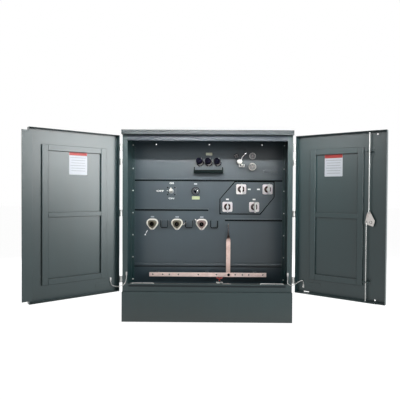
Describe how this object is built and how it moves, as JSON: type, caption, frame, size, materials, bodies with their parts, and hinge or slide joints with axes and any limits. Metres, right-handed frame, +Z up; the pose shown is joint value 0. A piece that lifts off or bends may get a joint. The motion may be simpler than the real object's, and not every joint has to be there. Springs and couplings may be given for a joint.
{
  "type": "pad-mounted three-phase transformer",
  "caption": "Floor-standing steel transformer: oil tank with rear radiators and a front terminal compartment whose hinged doors stand open on bushings, fuses and switches.",
  "frame": {"origin": "on the ground, at the centre of the footprint of the cabinet and the tank", "axes": "+Z up, +Y from the doors to the radiators, +X to the right when facing the doors"},
  "size_m": [2.8674, 1.9069, 1.7239],
  "materials": {
    "cabinet_paint": "satin",
    "roof_paint": "satin",
    "plate_paint": "satin",
    "dark_paint": "matte",
    "stainless": "brushed",
    "zinc": "zinc plated",
    "tinned": "tin plated",
    "cream_casting": "cast and painted",
    "brown_epoxy": "glossy cast resin",
    "black_plastic": "moulded",
    "white_plastic": "moulded",
    "copper": "bare copper",
    "brass": "cast brass",
    "red_paint": "painted casting",
    "white_braid": "braided sleeve"
  },
  "bodies": {
    "cabinet": {"base_frame": "dark_paint", "bond_lugs_cabinet": "tinned", "bond_wire_left": "white_braid", "bond_wire_right": "white_braid", "cabinet_roof": "roof_paint", "cabinet_side_left": "cabinet_paint", "cabinet_side_right": "cabinet_paint", "door_header": "cabinet_paint", "door_ledge": "cabinet_paint", "drain_valve": "brass", "drip_tray": "plate_paint", "front_plate_ribs": "plate_paint", "front_sill": "cabinet_paint", "fuse_holders": "black_plastic", "gauges": "black_plastic", "ground_bus": "copper", "ground_bus_standoffs": "plate_paint", "ground_strap": "copper", "hinge_leaves": "stainless", "hv_clamps": "cream_casting", "hv_wells": "brown_epoxy", "lifting_lugs": "cabinet_paint", "lv_bushings": "brown_epoxy", "lv_clamps": "cream_casting", "lv_plate": "plate_paint", "lv_spades": "tinned", "paper_holder": "plate_paint", "parking_pockets": "plate_paint", "radiator_collectors": "cabinet_paint", "radiator_panels": "cabinet_paint", "relief_valve": "white_plastic", "switch_base": "plate_paint", "tank_cover": "cabinet_paint", "tank_front_plate": "plate_paint", "tank_shell": "cabinet_paint", "tap_dial": "black_plastic"},
    "left_door": {"door_left": "cabinet_paint", "door_left_lip": "cabinet_paint", "door_stiffener_left": "cabinet_paint", "door_hinges_left": "stainless", "bond_lug_left": "tinned"},
    "right_door": {"door_right": "cabinet_paint", "door_stiffener_right": "cabinet_paint", "door_hinges_right": "stainless", "latch_guides": "cabinet_paint", "bond_lug_right": "tinned"},
    "latch": {"latch_cam": "zinc", "latch_handle": "stainless"},
    "upper_rod": {"latch_rod_upper": "zinc"},
    "lower_rod": {"latch_rod_lower": "zinc"},
    "switch": {"switch_handle": "white_plastic"},
    "tap": {"tap_knob": "black_plastic"},
    "valve_wheel": {"drain_wheel": "red_paint"}
  },
  "joints": [
    {"name": "left_door_hinge", "type": "hinge", "parent": "cabinet", "child": "left_door", "pos_m": [-0.772, -0.556, 0.97], "axis": [0, 0, -1], "range_deg": [-141.5, 15], "deforming": ["bond_wire_left"]},
    {"name": "right_door_hinge", "type": "hinge", "parent": "cabinet", "child": "right_door", "pos_m": [0.772, -0.556, 0.97], "axis": [0, 0, 1], "range_deg": [-146.5, 15], "deforming": ["bond_wire_right"]},
    {"name": "latch_turn", "type": "hinge", "parent": "right_door", "child": "latch", "pos_m": [1.3317, -0.89168, 0.928], "axis": [0.5519, 0.8339, 0], "range_deg": [0, 60]},
    {"name": "upper_rod_pin", "type": "hinge", "parent": "latch", "child": "upper_rod", "pos_m": [1.31836, -0.88285, 1.003], "axis": [0.5519, 0.8339, 0], "range_deg": [-70, 0]},
    {"name": "lower_rod_pin", "type": "hinge", "parent": "latch", "child": "lower_rod", "pos_m": [1.30251, -0.87236, 0.932], "axis": [0.5519, 0.8339, 0], "range_deg": [-60, 0]},
    {"name": "switch_turn", "type": "hinge", "parent": "cabinet", "child": "switch", "pos_m": [-0.367, -0.15, 1.174], "axis": [0, 1, 0], "range_deg": [0, 90]},
    {"name": "tap_turn", "type": "hinge", "parent": "cabinet", "child": "tap", "pos_m": [-0.126, -0.15, 1.174], "axis": [0, 1, 0], "range_deg": [-60, 60]},
    {"name": "valve_turn", "type": "hinge", "parent": "cabinet", "child": "valve_wheel", "pos_m": [0.113, -0.225, 0.331], "axis": [0, 0, 1], "continuous": true}
  ],
  "couplings": [
    {"joint": "upper_rod_pin", "follows": "latch_turn", "ratio": -1.139},
    {"joint": "lower_rod_pin", "follows": "latch_turn", "ratio": -0.967}
  ]
}
